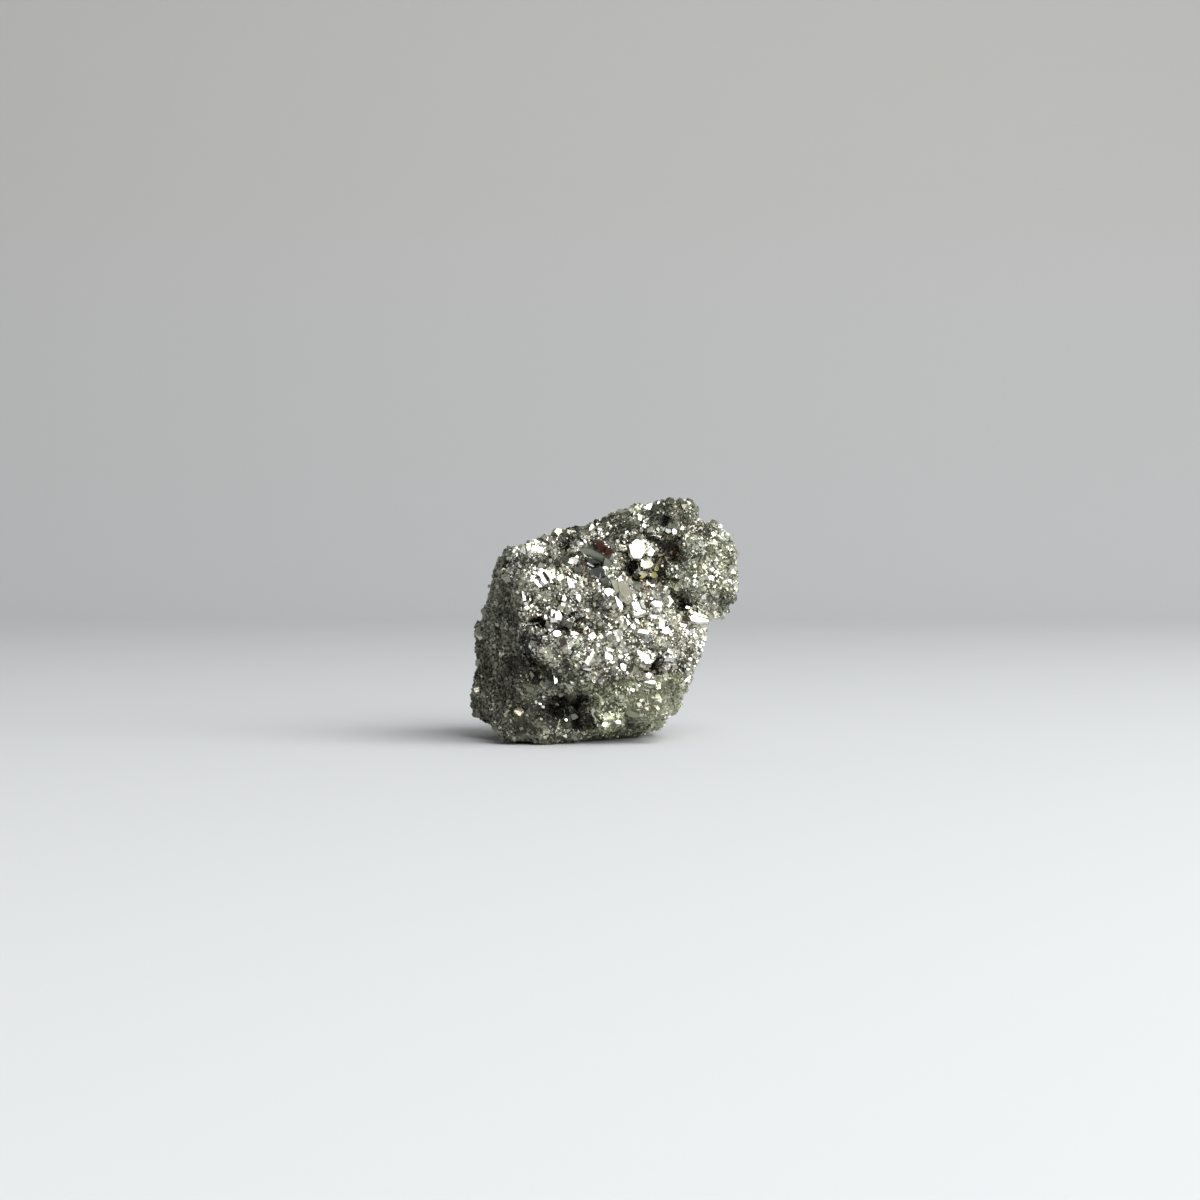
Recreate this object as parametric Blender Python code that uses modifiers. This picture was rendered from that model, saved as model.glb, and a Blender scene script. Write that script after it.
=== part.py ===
"""A rough pyrite cluster, about 38 mm wide, built as one closed solid.

The stone is one piece: a lump of pyrite with a flat broken side on its left, a bright crystal
front, a lobe at its upper right and several hollows.  It is modelled in millimetres with X to
the viewer's right, Y away from the viewer and Z up, then scaled to metres and stood on its
footprint, so that its box is centred on the origin and its feet lie on Z = 0.
"""

import math
import random

import bmesh
import bpy
import numpy as np
from mathutils import Matrix, Vector

# Driving dimensions, in millimetres
MILLIMETRE = 0.001
SKIN_VOXEL = 0.5
BODY_TRIANGLES = 3600
TOTAL_TRIANGLES = 9500
FOOT_CUT_HEIGHT = 0.0
SEED = 41

NODE_NAME = "pyrite_cluster"

# The large masses that carry everything, each the convex hull of its corners
MASSES = {
    "body": [
        (-13.5, -5.0, 26.5), (-11.7, -9.5, 21.5), (-10.3, -11.4, 15.5), (-11.2, -10.4, 9.5),
        (-11.8, -8.0, 3.0), (-8.0, -8.8, 26.7), (-3.0, -8.6, 27.5), (2.0, -8.2, 26.4),
        (-4.0, -13.0, 18.5), (2.0, -13.0, 17.0), (-3.0, -12.7, 12.0), (5.0, -12.3, 12.0),
        (0.0, -10.6, 5.5), (6.3, -9.2, 5.4), (9.0, -9.2, 17.5), (11.8, -5.5, 16.6),
        (14.4, -1.0, 16.4), (13.2, -3.5, 11.0), (10.8, -3.0, 6.2), (7.8, -5.0, 3.4),
        (-14.7, 0.0, 25.2), (-15.9, 2.0, 22.0), (-17.3, 5.0, 16.9), (-18.3, 6.0, 11.6),
        (-18.2, 5.0, 7.0), (-15.4, 3.0, 2.2), (-11.6, -5.5, -0.6), (-7.5, -7.6, -0.8),
        (0.5, -7.0, 3.0), (5.4, -5.6, 3.2), (3.8, 5.2, -0.9), (7.6, 9.5, 0.4),
        (-2.0, 11.0, -0.9), (-9.5, 8.0, -0.8), (-14.2, 12.6, 18.0), (-14.6, 13.0, 9.0),
        (-10.0, 13.4, 2.5), (-9.5, 8.0, 26.0), (-3.2, 7.0, 29.7), (0.5, 9.0, 30.4),
        (1.2, 15.4, 22.0), (0.5, 16.0, 12.0), (2.4, 13.4, 3.0), (10.6, 9.6, 13.0),
        (9.0, 8.0, 4.5), (11.6, 6.0, 17.0), (8.0, 11.0, 24.0),
    ],
    "right_lobe": [
        (9.0, -6.8, 22.5), (12.0, -6.8, 20.5), (13.6, -1.0, 30.1), (16.0, 3.0, 30.4),
        (17.7, 4.0, 29.0), (18.4, 3.0, 26.4), (19.0, 4.0, 23.4), (18.7, 4.0, 20.2),
        (17.2, 3.0, 16.8), (13.5, -3.0, 18.0), (15.8, -3.0, 26.0), (16.4, 10.0, 26.0),
        (16.0, 11.0, 20.0), (12.5, 9.0, 16.0), (8.0, 12.0, 27.0), (13.8, 8.5, 29.2),
    ],
    "top_lump": [
        (5.6, -2.0, 32.3), (9.6, -3.0, 33.2), (12.0, -1.0, 33.2), (13.4, 1.0, 31.4),
        (4.2, -6.6, 28.4), (10.5, -5.8, 29.2), (3.2, 8.0, 31.6), (8.5, 8.0, 32.5),
        (11.8, 6.0, 31.4), (-1.5, 7.0, 30.4), (0.0, -1.0, 29.0), (12.0, 6.0, 26.0),
        (3.0, 10.0, 26.0),
    ],
    "left_bulge": [
        (-18.3, 1.0, 6.4), (-18.9, 2.2, 4.8), (-18.2, 2.0, 3.1), (-16.2, 0.6, 2.2),
        (-14.4, -4.2, 2.6), (-15.0, -4.0, 6.8), (-17.2, -0.6, 9.6), (-17.8, 5.0, 10.5),
        (-18.4, 7.0, 6.0), (-16.6, 8.0, 3.0), (-12.0, 2.0, 3.0), (-12.0, 6.0, 10.0),
    ],
    "core": [
        (4.0, -4.0, 22.0), (13.0, -3.0, 21.0), (12.5, -2.5, 28.5), (5.0, -3.0, 29.5),
        (4.0, 8.0, 20.0), (13.0, 8.0, 20.0), (12.0, 8.0, 29.0), (4.0, 8.0, 29.0),
    ],
}

# Knobs of massed crystals that stand out of the skin: centre, half-sizes
KNOBS = [
    ((-9.3, -8.2, 26.0), (1.9, 1.4, 1.1)),
    ((-8.2, -9.9, 23.0), (2.8, 1.6, 1.5)),
    ((-4.0, -11.8, 21.3), (2.8, 1.4, 1.3)),
    ((0.8, -11.8, 20.2), (2.2, 1.5, 1.7)),
    ((6.4, -10.8, 19.6), (2.2, 1.6, 1.9)),
    ((-5.6, -12.4, 14.4), (2.2, 1.5, 1.1)),
    ((-7.6, -11.8, 12.2), (2.0, 1.6, 1.6)),
    ((-2.2, -12.6, 11.2), (1.7, 1.1, 1.0)),
    ((3.6, -12.4, 14.6), (2.6, 1.3, 1.6)),
    ((9.2, -9.0, 14.0), (2.4, 1.7, 2.2)),
    ((6.9, -10.2, 9.2), (2.1, 1.6, 1.5)),
    ((1.2, -11.2, 8.4), (2.8, 1.5, 1.5)),
    ((-10.0, -10.2, 7.6), (2.0, 1.5, 1.4)),
    ((-11.5, -6.6, 2.9), (3.9, 3.3, 3.0)),
    ((-8.2, -7.4, 2.6), (2.8, 3.0, 2.8)),
    ((1.3, -8.2, 3.4), (2.3, 2.2, 1.5)),
    ((6.7, -6.6, 4.9), (2.7, 2.7, 2.1)),
    ((13.0, -4.2, 17.3), (1.9, 2.0, 1.1)),
    ((14.9, -1.8, 23.4), (2.2, 2.2, 2.4)),
    ((12.4, -4.8, 26.4), (1.8, 1.6, 2.0)),
    ((17.0, 1.4, 20.4), (1.6, 2.2, 1.8)),
    ((5.2, -5.4, 30.2), (2.0, 1.6, 1.2)),
    ((-4.6, -7.6, 27.3), (2.4, 2.0, 1.3)),
    ((2.6, -6.2, 27.6), (2.4, 2.0, 1.4)),
    ((-6.0, 13.4, 20.0), (4.2, 2.6, 3.6)),
    ((4.2, 14.2, 14.0), (3.6, 2.4, 3.4)),
    ((-12.3, 10.4, 22.4), (2.8, 3.0, 2.6)),
    ((10.2, 8.8, 9.0), (2.6, 2.6, 3.0)),
    ((-10.2, 12.8, 7.6), (3.4, 2.4, 3.2)),
    ((1.0, 13.0, 5.0), (3.6, 2.4, 2.6)),
    ((15.2, 9.6, 23.4), (2.4, 2.6, 3.0)),
    ((6.4, 11.4, 29.2), (2.8, 1.8, 2.0)),
    ((-16.2, 8.2, 13.4), (2.0, 3.0, 3.0)),
]

# Hollows between the crystals: centre, half-sizes, tilt about Y in degrees
HOLLOWS = [
    ((9.0, -6.6, 26.1), (2.4, 3.6, 2.8), 10),
    ((6.2, -8.6, 25.0), (2.6, 2.4, 1.9), 25),
    ((4.0, -9.4, 23.4), (1.9, 2.4, 1.3), -15),
    ((-0.4, -11.0, 25.6), (2.8, 2.4, 1.7), 20),
    ((-2.7, -12.8, 16.6), (3.4, 3.4, 1.35), 18),
    ((-9.6, -11.4, 16.5), (2.4, 2.6, 1.0), 4),
    ((-1.3, -13.4, 18.5), (1.2, 2.2, 1.5), 0),
    ((7.0, -11.3, 11.2), (1.2, 3.0, 1.9), -40),
    ((5.9, -13.4, 13.4), (1.4, 1.9, 0.7), 25),
    ((11.3, -7.6, 18.8), (1.0, 2.8, 1.7), 20),
    ((-6.2, -10.2, 5.2), (1.7, 3.4, 1.9), 0),
    ((-2.7, -10.4, 5.6), (2.2, 3.8, 1.6), 0),
    ((-2.5, -9.4, 3.2), (1.9, 3.2, 1.3), 0),
    ((3.6, -9.0, 2.8), (0.7, 3.0, 1.8), -12),
    ((-15.0, -4.4, 7.9), (1.7, 2.0, 1.1), 20),
    ((-9.8, -12.2, 10.5), (1.8, 2.7, 1.9), -20),
    ((-12.9, -8.2, 12.4), (1.2, 1.6, 1.0), 35),
    ((8.3, -6.4, 31.0), (1.8, 2.8, 1.0), -5),
    ((13.9, -4.4, 28.2), (0.9, 1.6, 0.9), 20),
    ((10.6, -7.6, 23.4), (0.8, 1.2, 1.6), 30),
    ((2.2, -6.6, 29.4), (1.4, 1.6, 1.2), -30),
    ((-1.5, 16.4, 17.0), (2.2, 2.2, 2.6), 30),
    ((7.4, 13.4, 20.6), (2.4, 2.6, 2.2), -20),
    ((-9.4, 14.6, 14.0), (2.6, 2.2, 1.9), 15),
    ((-5.6, 14.2, 4.2), (2.2, 2.4, 1.6), 0),
    ((16.4, 7.4, 17.2), (2.2, 2.4, 1.6), 25),
    ((-4.0, 10.0, 27.6), (3.0, 2.0, 1.4), -20),
]

# Crystals that are seen singly in the front: centre, edge length, direction of one face
SHOW_CRYSTALS = [
    ((4.9, -7.7, 26.9), 2.0, (0.25, -0.90, 0.35)),
    ((6.4, -7.0, 26.5), 1.4, (0.50, -0.75, 0.45)),
    ((5.8, -7.7, 24.5), 1.5, (0.10, -0.90, 0.30)),
    ((7.4, -6.2, 24.2), 1.4, (0.55, -0.70, 0.30)),
    ((4.9, -8.3, 23.3), 1.2, (0.40, -0.80, 0.50)),
    ((2.8, -11.2, 21.0), 2.6, (0.00, -0.97, 0.22)),
    ((-8.8, -10.5, 23.5), 1.6, (0.30, -0.85, 0.40)),
    ((-7.2, -10.8, 23.3), 1.4, (0.15, -0.90, 0.35)),
    ((-9.5, -8.6, 26.4), 1.5, (0.20, -0.80, 0.55)),
    ((-6.2, -12.2, 17.0), 1.3, (0.30, -0.85, 0.20)),
    ((-4.9, -12.1, 16.8), 1.3, (0.10, -0.95, 0.10)),
    ((5.5, -11.9, 11.9), 1.9, (0.35, -0.80, 0.45)),
    ((13.4, -5.4, 17.6), 1.5, (0.35, -0.80, 0.45)),
    ((12.1, -6.0, 17.4), 1.2, (0.20, -0.85, 0.45)),
    ((4.4, -11.9, 18.4), 1.7, (0.30, -0.85, 0.35)),
    ((0.2, -12.6, 19.4), 1.2, (-0.10, -0.90, 0.40)),
]

# Zones of growth: crystals per square millimetre and the range of their edges
ZONES = {
    "broken_side": {"density": 0.015, "edge": (0.7, 1.0)},
    "bright_front": {"density": 0.20, "edge": (0.9, 1.6)},
    "lower_front": {"density": 0.09, "edge": (0.8, 1.3)},
    "upper_right": {"density": 0.14, "edge": (0.8, 1.3)},
    "rear": {"density": 0.07, "edge": (1.0, 1.9)},
    "underside": {"density": 0.0, "edge": (0.8, 1.2)},
}

# How deep a crystal's centre lies under the skin, in parts of its edge
SUNK = (0.15, 0.4)


def clear_scene():
    for scene_object in list(bpy.data.objects):
        bpy.data.objects.remove(scene_object)


def make_collection(name):
    collection = bpy.data.collections.new(name)
    bpy.context.scene.collection.children.link(collection)
    return collection


def object_from_bmesh(name, shape, collection):
    mesh = bpy.data.meshes.new(name)
    shape.to_mesh(mesh)
    shape.free()
    made = bpy.data.objects.new(name, mesh)
    collection.objects.link(made)
    return made


def as_helper(helper):
    """A cutter or guide: drawn as wire and left out of renders."""
    helper.hide_render = True
    helper.display_type = "WIRE"
    return helper


def apply_modifiers(target):
    """Replaces the object's mesh by what its modifiers make of it."""
    graph = bpy.context.evaluated_depsgraph_get()
    made = bpy.data.meshes.new_from_object(target.evaluated_get(graph))
    target.modifiers.clear()
    old = target.data
    target.data = made
    bpy.data.meshes.remove(old)


def add_ellipsoid(shape, centre, half_sizes, tilt_degrees=0.0, detail=3):
    """A ball stretched to its half-sizes, tilted about Y and moved into place."""
    place = (
        Matrix.Translation(centre)
        @ Matrix.Rotation(math.radians(tilt_degrees), 4, "Y")
        @ Matrix.Diagonal((*half_sizes, 1.0))
    )
    bmesh.ops.create_icosphere(shape, subdivisions=detail, radius=1.0, matrix=place)


def add_mass(shape, corners):
    """The convex hull of a mass's corners."""
    points = [shape.verts.new(corner) for corner in corners]
    hull = bmesh.ops.convex_hull(shape, input=points)
    loose = [item for item in hull["geom_interior"] + hull["geom_unused"] if isinstance(item, bmesh.types.BMVert)]
    bmesh.ops.delete(shape, geom=list(set(loose)), context="VERTS")


def noise_texture(name, kind, scale):
    texture = bpy.data.textures.new(name, kind)
    texture.noise_scale = scale
    return texture


def add_displace(target, name, texture, strength, mid_level=0.5):
    displace = target.modifiers.new(name, "DISPLACE")
    displace.texture = texture
    displace.texture_coords = "LOCAL"
    displace.strength = strength
    displace.mid_level = mid_level


def add_skin(target, voxel):
    remesh = target.modifiers.new("skin", "REMESH")
    remesh.mode = "VOXEL"
    remesh.voxel_size = voxel


def build_body(collection, cutters):
    """The stone without its crystals: masses and knobs under one skin, hollows cut, roughened."""
    shape = bmesh.new()
    for corners in MASSES.values():
        part = bmesh.new()
        add_mass(part, corners)
        hull_mesh = bpy.data.meshes.new("hull")
        part.to_mesh(hull_mesh)
        part.free()
        shape.from_mesh(hull_mesh)
        bpy.data.meshes.remove(hull_mesh)
    for centre, half_sizes in KNOBS:
        add_ellipsoid(shape, centre, half_sizes)
    body = object_from_bmesh(NODE_NAME, shape, collection)
    add_skin(body, SKIN_VOXEL)
    smooth = body.modifiers.new("soften", "SMOOTH")
    smooth.factor = 0.5
    smooth.iterations = 3
    apply_modifiers(body)

    shape = bmesh.new()
    for centre, half_sizes, tilt in HOLLOWS:
        add_ellipsoid(shape, centre, half_sizes, tilt, detail=2)
    hollows = as_helper(object_from_bmesh("hollows", shape, cutters))
    cut = body.modifiers.new("hollows", "BOOLEAN")
    cut.operation = "DIFFERENCE"
    cut.object = hollows
    cut.use_self = True
    apply_modifiers(body)

    add_skin(body, SKIN_VOXEL)
    add_displace(body, "lumps", noise_texture("lumps", "CLOUDS", 3.4), 1.5)
    add_displace(body, "grains", noise_texture("grains", "VORONOI", 1.5), -0.9, 0.35)
    apply_modifiers(body)
    add_skin(body, SKIN_VOXEL * 0.8)
    apply_modifiers(body)
    thin_to(body, BODY_TRIANGLES)
    return body


def zone_of(place, normal):
    if normal.z < -0.75 or place.z < 1.0:
        return "underside"
    if normal.x < -0.6 and place.x < -9.5 and place.y < 7.0:
        return "broken_side"
    if normal.y > 0.15:
        return "rear"
    if place.x > 9.0 and place.z > 17.0 or place.z > 29.5:
        return "upper_right"
    if place.z < 9.5 or place.x > 9.0:
        return "lower_front"
    return "bright_front"


def add_crystal(shape, kind, centre, edge, turn):
    """One flat-faced crystal: a cube, or a cube with its corners cut to the middle of its edges."""
    place = Matrix.Translation(centre) @ turn.to_4x4()
    made = bmesh.ops.create_cube(shape, size=edge, matrix=place)
    if kind == "cuboctahedron":
        bmesh.ops.bevel(
            shape,
            geom=made["verts"],
            offset=edge * 0.42,
            affect="VERTICES",
            segments=1,
            profile=0.5,
        )


def random_turn(chance):
    axis = Vector((chance.gauss(0, 1), chance.gauss(0, 1), chance.gauss(0, 1))).normalized()
    return Matrix.Rotation(chance.uniform(0, math.pi), 3, axis)


def turn_facing(direction, chance):
    """A rotation that points a cube's +Z face along a direction, spun by chance about it."""
    facing = Vector(direction).normalized().to_track_quat("Z", "Y").to_matrix()
    return facing @ Matrix.Rotation(chance.uniform(0, math.pi / 2), 3, "Z")


def build_crystals(body, cutters):
    """Crystals scattered over the skin, denser and larger where the stone shows them so."""
    chance = random.Random(SEED)
    shape = bmesh.new()
    for centre, edge, direction in SHOW_CRYSTALS:
        add_crystal(shape, "cube", Vector(centre), edge, turn_facing(direction, chance))

    body.data.calc_loop_triangles()
    corners = body.data.vertices
    taken = []
    for face in body.data.loop_triangles:
        a, b, c = (corners[index].co for index in face.vertices)
        centre = (a + b + c) / 3
        zone = ZONES[zone_of(centre, face.normal)]
        wanted = face.area * zone["density"]
        for _ in range(int(wanted) + (chance.random() < wanted % 1)):
            u, v = chance.random(), chance.random()
            if u + v > 1:
                u, v = 1 - u, 1 - v
            place = a + (b - a) * u + (c - a) * v
            edge = chance.uniform(*zone["edge"])
            if any((place - other).length < 0.55 * (edge + size) for other, size in taken):
                continue
            taken.append((place, edge))
            sunk = place - face.normal * edge * chance.uniform(*SUNK)
            kind = chance.choice(("cube", "cube", "cuboctahedron"))
            add_crystal(shape, kind, sunk, edge, random_turn(chance))
    print("crystals", len(taken) + len(SHOW_CRYSTALS))
    return as_helper(object_from_bmesh("crystals", shape, cutters))


def fuse(body, other, operation):
    union = body.modifiers.new(operation.lower(), "BOOLEAN")
    union.operation = operation
    union.object = other
    union.use_self = True
    apply_modifiers(body)


def cut_feet(body, cutters):
    """Cuts the underside flat at the level that the stone rests on."""
    shape = bmesh.new()
    place = Matrix.Translation((0, 0, FOOT_CUT_HEIGHT - 10)) @ Matrix.Diagonal((60, 60, 20, 1))
    bmesh.ops.create_cube(shape, size=1.0, matrix=place)
    block = as_helper(object_from_bmesh("table_level", shape, cutters))
    fuse(body, block, "DIFFERENCE")


def thin_to(body, triangles):
    """Collapses edges where that changes least, down to a number of triangles."""
    body.data.calc_loop_triangles()
    thin = body.modifiers.new("thin_out", "DECIMATE")
    thin.ratio = min(1.0, triangles / len(body.data.loop_triangles))
    apply_modifiers(body)


def keep_main_piece(body):
    """Drops the crumbs that a cut or a crystal left loose, and keeps the stone."""
    shape = bmesh.new()
    shape.from_mesh(body.data)
    left = set(shape.verts)
    pieces = []
    while left:
        piece, edge_of_piece = set(), [left.pop()]
        while edge_of_piece:
            vertex = edge_of_piece.pop()
            piece.add(vertex)
            found = {edge.other_vert(vertex) for edge in vertex.link_edges} & left
            left -= found
            edge_of_piece.extend(found)
        pieces.append(piece)
    pieces.sort(key=len)
    for crumb in pieces[:-1]:
        bmesh.ops.delete(shape, geom=list(crumb), context="VERTS")
    shape.to_mesh(body.data)
    shape.free()


def stand_on_origin(body):
    """Scales millimetres to metres, centres the box on the origin and puts the feet on Z = 0."""
    points = np.array([vertex.co for vertex in body.data.vertices])
    low, high = points.min(0), points.max(0)
    shift = Vector((-(low[0] + high[0]) / 2, -(low[1] + high[1]) / 2, -low[2]))
    body.data.transform(Matrix.Scale(MILLIMETRE, 4) @ Matrix.Translation(shift))
    print("box in mm", (high - low).round(2), "shift", [round(x, 3) for x in shift])


def pyrite_material():
    material = bpy.data.materials.new("pyrite")
    material.use_nodes = True
    shader = material.node_tree.nodes["Principled BSDF"]
    shader.inputs["Base Color"].default_value = (0.36, 0.35, 0.27, 1.0)
    shader.inputs["Metallic"].default_value = 1.0
    shader.inputs["Roughness"].default_value = 0.32
    return material


def main():
    clear_scene()
    stone = make_collection(NODE_NAME)
    cutters = make_collection("cutters")
    body = build_body(stone, cutters)
    fuse(body, build_crystals(body, cutters), "UNION")
    keep_main_piece(body)
    thin_to(body, TOTAL_TRIANGLES)
    cut_feet(body, cutters)
    keep_main_piece(body)
    stand_on_origin(body)
    body.data.materials.clear()
    body.data.materials.append(pyrite_material())
    print("faces", len(body.data.polygons))


main()
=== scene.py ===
# Rough pyrite cluster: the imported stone, dressed with its druse of small metallic crystals.
# Lengths are in millimetres here, and become metres where a mesh is made.
# X is to the viewer's right, Y goes away from the viewer and Z is up.

import math

import bmesh
import bpy
import numpy as np
from mathutils import Matrix, Vector, noise
from mathutils.bvhtree import BVHTree
from mathutils.kdtree import KDTree


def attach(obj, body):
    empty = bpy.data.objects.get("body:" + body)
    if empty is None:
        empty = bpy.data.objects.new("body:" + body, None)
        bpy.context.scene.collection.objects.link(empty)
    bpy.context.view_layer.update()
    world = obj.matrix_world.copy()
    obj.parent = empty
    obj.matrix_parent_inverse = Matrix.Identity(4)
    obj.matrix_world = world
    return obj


mm = 0.001
dice = np.random.default_rng(7)

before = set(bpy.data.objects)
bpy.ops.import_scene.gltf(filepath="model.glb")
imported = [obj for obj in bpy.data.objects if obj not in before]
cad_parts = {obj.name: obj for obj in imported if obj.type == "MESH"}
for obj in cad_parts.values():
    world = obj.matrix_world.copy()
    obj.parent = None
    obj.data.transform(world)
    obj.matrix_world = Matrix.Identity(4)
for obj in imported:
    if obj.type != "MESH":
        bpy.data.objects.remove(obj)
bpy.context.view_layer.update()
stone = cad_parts["pyrite_cluster"]
print("stone loaded")


# camera

photoCamera = {
    "place": (-0.59, -349.4, 29.2),
    "lens": 75.0,
    "sensor": 36.0,
    "lookDown": 1.604,   # degrees under the horizon
    "clip": (0.01, 20),  # metres
    "frameWidth": 1200,  # the photograph's own width, for spots named by pixel
}
cameraTurn = Matrix.Rotation(math.radians(90 - photoCamera["lookDown"]), 3, "X")
frameMiddle = photoCamera["frameWidth"] / 2
focalPixels = photoCamera["lens"] / photoCamera["sensor"] * photoCamera["frameWidth"]
pixelSize = photoCamera["sensor"] / photoCamera["lens"] / photoCamera["frameWidth"]  # at a distance of 1


def addCamera(look):
    camera = bpy.data.cameras.new("photoCamera")
    camera.lens = look["lens"]
    camera.sensor_width = look["sensor"]
    camera.clip_start, camera.clip_end = look["clip"]
    holder = bpy.data.objects.new("photoCamera", camera)
    holder.location = [value * mm for value in look["place"]]
    holder.rotation_euler = (math.radians(90 - look["lookDown"]), 0, 0)
    bpy.context.scene.collection.objects.link(holder)
    bpy.context.scene.camera = holder


def rayThrough(spot):
    # the direction in which the camera sees a pixel of the photograph
    across = (spot[0] - frameMiddle) / focalPixels
    down = (spot[1] - frameMiddle) / focalPixels
    return cameraTurn @ Vector((across, -down, -1)).normalized()


addCamera(photoCamera)
print("camera set")


# studio: one large window to the right, a dim room and a pale sweep that the stone stands on

studio = {
    "window": {"towards": (0.62, -0.52, 0.58), "away": 700, "size": (850, 850), "power": 8.0},
    "roomDark": (0.060, 0.061, 0.062),
    "roomPale": (0.62, 0.625, 0.62),
    "roomPaleSide": (0.80, 0.05, 0.60),
    "roomFade": (0.30, 0.95),  # where the dark side ends and the pale side begins
    "sweep": {"width": 6000, "near": -3000, "bend": 450, "radius": 500, "steps": 24, "height": 2500},
    "floorTone": (0.695, 0.71, 0.725),
    "wallTone": (0.705, 0.70, 0.68),
    "toneChange": 0.5,         # where the floor's tone has become the wall's, in parts of the bend's radius
    "sweepRoughness": 0.8,
    "sweepShine": 0.15,
}


def addWindow(box):
    light = bpy.data.lights.new("window", "AREA")
    light.shape = "RECTANGLE"
    light.size = box["size"][0] * mm
    light.size_y = box["size"][1] * mm
    light.energy = box["power"]
    lamp = bpy.data.objects.new("window", light)
    towards = Vector(box["towards"]).normalized()
    lamp.location = towards * box["away"] * mm
    lamp.rotation_euler = towards.to_track_quat("Z", "Y").to_euler()
    bpy.context.scene.collection.objects.link(lamp)


def addRoom(look):
    # the room's light comes mostly from the right and above, and fades to dark on the left
    world = bpy.data.worlds.new("room")
    world.use_nodes = True
    nodes, links = world.node_tree.nodes, world.node_tree.links
    coord = nodes.new("ShaderNodeTexCoord")
    slope = nodes.new("ShaderNodeVectorMath")
    slope.operation = "DOT_PRODUCT"
    slope.inputs[1].default_value = Vector(look["roomPaleSide"]).normalized()
    ramp = nodes.new("ShaderNodeValToRGB")
    ramp.color_ramp.interpolation = "EASE"
    for element, position, tone in zip(ramp.color_ramp.elements, look["roomFade"], ("roomDark", "roomPale")):
        element.position = position
        element.color = (*look[tone], 1)
    halve = nodes.new("ShaderNodeMapRange")
    halve.inputs["From Min"].default_value = -1
    links.new(coord.outputs["Generated"], slope.inputs[0])
    links.new(slope.outputs["Value"], halve.inputs["Value"])
    links.new(halve.outputs["Result"], ramp.inputs["Fac"])
    links.new(ramp.outputs["Color"], nodes["Background"].inputs["Color"])
    bpy.context.scene.world = world


def addSweep(look):
    # floor and backdrop in one curved sheet, a little cooler on the floor than on the wall
    shape = look["sweep"]
    profile = [(shape["near"], 0)]
    for step in range(shape["steps"] + 1):
        turn = math.radians(90 * step / shape["steps"])
        profile.append((shape["bend"] + shape["radius"] * math.sin(turn),
                        shape["radius"] * (1 - math.cos(turn))))
    profile.append((shape["bend"] + shape["radius"], shape["height"]))
    half = shape["width"] / 2
    points = [(x * mm, y * mm, z * mm) for y, z in profile for x in (-half, half)]
    faces = [(2 * i, 2 * i + 1, 2 * i + 3, 2 * i + 2) for i in range(len(profile) - 1)]
    mesh = bpy.data.meshes.new("sweep")
    mesh.from_pydata(points, [], faces)
    for polygon in mesh.polygons:
        polygon.use_smooth = True
    sweep = bpy.data.objects.new("sweep", mesh)
    bpy.context.scene.collection.objects.link(sweep)
    paint = bpy.data.materials.new("paleSweep")
    paint.use_nodes = True
    shader = paint.node_tree.nodes["Principled BSDF"]
    nodes, links = paint.node_tree.nodes, paint.node_tree.links
    coord = nodes.new("ShaderNodeTexCoord")
    split = nodes.new("ShaderNodeSeparateXYZ")
    height = nodes.new("ShaderNodeMapRange")
    height.inputs["From Max"].default_value = look["toneChange"] * shape["radius"] * mm
    mix = nodes.new("ShaderNodeMix")
    mix.data_type = "RGBA"
    mix.inputs["A"].default_value = (*look["floorTone"], 1)
    mix.inputs["B"].default_value = (*look["wallTone"], 1)
    links.new(coord.outputs["Object"], split.inputs["Vector"])
    links.new(split.outputs["Z"], height.inputs["Value"])
    links.new(height.outputs["Result"], mix.inputs["Factor"])
    links.new(mix.outputs["Result"], shader.inputs["Base Color"])
    shader.inputs["Roughness"].default_value = look["sweepRoughness"]
    shader.inputs["Specular IOR Level"].default_value = look["sweepShine"]
    mesh.materials.append(paint)


addWindow(studio["window"])
addRoom(studio)
addSweep(studio)
bpy.context.scene.view_settings.view_transform = "Standard"
print("studio lit")


# what the stone's own surface says: its triangles, how hollow they lie, and which are a large crystal's

skinRules = {
    "hollowReach": 2.6,     # how far round a spot its hollow is judged
    "rowsAtOnce": 500,
    "directionSteps": 40,   # triangles that agree in these steps of direction
    "levelStep": 0.06,      # and in this step of level are one flat face
    "sharpTurn": 30,        # degrees at the edges of a large crystal's face
    "crystalArea": 0.45,    # and its least area in square mm
}


def readStone(node):
    mesh = node.data
    mesh.calc_loop_triangles()
    points = np.empty(len(mesh.vertices) * 3)
    mesh.vertices.foreach_get("co", points)
    points = points.reshape(-1, 3) / mm
    corners = np.empty(len(mesh.loop_triangles) * 3, int)
    mesh.loop_triangles.foreach_get("vertices", corners)
    a, b, c = points[corners.reshape(-1, 3).T]
    cross = np.cross(b - a, c - a)
    area = np.linalg.norm(cross, axis=1) / 2
    normal = cross / np.maximum(2 * area[:, None], 1e-9)
    return {"a": a, "b": b, "c": c, "centre": (a + b + c) / 3, "area": area, "normal": normal}


def hollowness(skin):
    # above 0 where the neighbourhood stands higher than the spot, in parts of the reach
    centre, area = skin["centre"], skin["area"]
    reach, rows = skinRules["hollowReach"], skinRules["rowsAtOnce"]
    lift = np.zeros(len(centre))
    for start in range(0, len(centre), rows):
        part = slice(start, start + rows)
        gap = centre[None, :, :] - centre[part, None, :]
        near = (np.einsum("ijk,ijk->ij", gap, gap) < reach ** 2) * area[None, :]
        mean = np.einsum("ij,ijk->ik", near, gap) / np.maximum(near.sum(1), 1e-9)[:, None]
        lift[part] = np.einsum("ij,ij->i", mean, skin["normal"][part]) / reach
    return lift


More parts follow.
